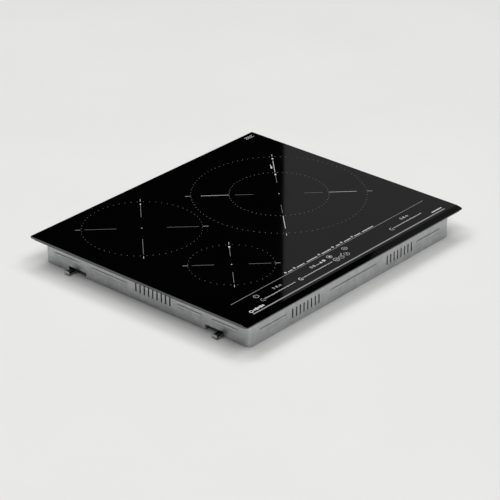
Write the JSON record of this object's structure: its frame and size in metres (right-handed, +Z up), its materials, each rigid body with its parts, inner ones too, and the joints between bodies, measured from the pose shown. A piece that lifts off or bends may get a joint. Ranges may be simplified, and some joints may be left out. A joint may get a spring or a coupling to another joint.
{
  "type": "built-in induction hob",
  "caption": "Built-in induction hob: bevelled black glass with dotted cooking zones over a vented steel casing with fans, coils, boards and swivel clamps.",
  "frame": {"origin": "centre of the footprint, on the casing's flat underside", "axes": "+X to the right when facing the controls, +Y to the back, +Z up out of the glass"},
  "size_m": [0.6, 0.51, 0.055],
  "materials": {
    "black_glass": "polished opaque black glass-ceramic",
    "marking": "fired white-grey enamel print",
    "foam_seal": "closed-cell foam tape",
    "silicone": "cured silicone",
    "casing_steel": "galvanised sheet steel",
    "spring_steel": "zinc-plated spring steel",
    "aluminium": "mill-finish aluminium",
    "copper_litz": "enamelled copper litz wire",
    "ferrite": "sintered ferrite",
    "mica": "pressed mica sheet",
    "dark_plastic": "glass-filled nylon",
    "white_plastic": "moulded polyamide",
    "circuit_board": "solder-masked glass-epoxy",
    "capacitor": "potted film capacitor case",
    "display": "light-emitting display window",
    "ribbon": "flat ribbon cable"
  },
  "bodies": {
    "casing": {"board_insulator_left": "dark_plastic", "board_insulator_right": "dark_plastic", "bottom_tray": "casing_steel", "cable_clamp": "dark_plastic", "clamp_screw_front_left": "spring_steel", "clamp_screw_front_right": "spring_steel", "clamp_screw_rear_left": "spring_steel", "clamp_screw_rear_right": "spring_steel", "coil_carrier_front_left": "dark_plastic", "coil_carrier_rear_left": "dark_plastic", "coil_carrier_right": "dark_plastic", "coil_plate_left": "aluminium", "coil_plate_right": "aluminium", "control_board": "circuit_board", "control_holder": "dark_plastic", "dc_link_capacitor_left": "capacitor", "dc_link_capacitor_right": "capacitor", "display_left": "display", "display_middle": "display", "display_right": "display", "fan_housing_left": "dark_plastic", "fan_housing_right": "dark_plastic", "filter_board": "circuit_board", "filter_capacitor": "capacitor", "filter_choke": "copper_litz", "glass_top": "black_glass", "heatsink_left": "aluminium", "heatsink_right": "aluminium", "lift_spring_left_front": "spring_steel", "lift_spring_left_rear": "spring_steel", "lift_spring_right_front": "spring_steel", "lift_spring_right_rear": "spring_steel", "mica_sheet_front_left": "mica", "mica_sheet_rear_left": "mica", "mica_sheet_right": "mica", "output_choke_left": "copper_litz", "output_choke_right": "copper_litz", "power_board_left": "circuit_board", "power_board_right": "circuit_board", "resonant_capacitor_left": "capacitor", "resonant_capacitor_right": "capacitor", "ribbon_cable": "ribbon", "sealing_tape": "foam_seal", "silicone_bond": "silicone", "support_frame": "casing_steel", "temperature_sensor_front_left": "silicone", "temperature_sensor_rear_left": "silicone", "temperature_sensor_right": "silicone", "terminal_block": "white_plastic", "winding_front_left": "copper_litz", "winding_rear_left": "copper_litz", "winding_right_inner": "copper_litz", "winding_right_outer": "copper_litz"},
    "fan_rotor_left": {"fan_impeller_left": "dark_plastic"},
    "fan_rotor_right": {"fan_impeller_right": "dark_plastic"},
    "terminal_cover": {"terminal_box_cover": "dark_plastic"},
    "clamp_front_left": {"swivel_clamp_front_left": "spring_steel"},
    "clamp_front_right": {"swivel_clamp_front_right": "spring_steel"},
    "clamp_rear_left": {"swivel_clamp_rear_left": "spring_steel"},
    "clamp_rear_right": {"swivel_clamp_rear_right": "spring_steel"}
  },
  "joints": [
    {"name": "fan_spin_left", "type": "hinge", "parent": "casing", "child": "fan_rotor_left", "pos_m": [-0.135, 0.168, 0.0055], "axis": [0, 0, 1], "continuous": true},
    {"name": "fan_spin_right", "type": "hinge", "parent": "casing", "child": "fan_rotor_right", "pos_m": [0.135, 0.168, 0.0055], "axis": [0, 0, 1], "continuous": true},
    {"name": "clamp_swing_front_left", "type": "hinge", "parent": "casing", "child": "clamp_front_left", "pos_m": [-0.262, -0.175, 0.004], "axis": [0, 0, -1], "range_deg": [0, 90]},
    {"name": "clamp_swing_front_right", "type": "hinge", "parent": "casing", "child": "clamp_front_right", "pos_m": [0.262, -0.175, 0.004], "axis": [0, 0, 1], "range_deg": [0, 90]},
    {"name": "clamp_swing_rear_left", "type": "hinge", "parent": "casing", "child": "clamp_rear_left", "pos_m": [-0.262, 0.175, 0.004], "axis": [0, 0, 1], "range_deg": [0, 90]},
    {"name": "clamp_swing_rear_right", "type": "hinge", "parent": "casing", "child": "clamp_rear_right", "pos_m": [0.262, 0.175, 0.004], "axis": [0, 0, -1], "range_deg": [0, 90]},
    {"name": "cover_hinge", "type": "hinge", "parent": "casing", "child": "terminal_cover", "pos_m": [0, 0.2426, 0.0032], "axis": [-1, 0, 0], "range_deg": [0, 90]}
  ]
}
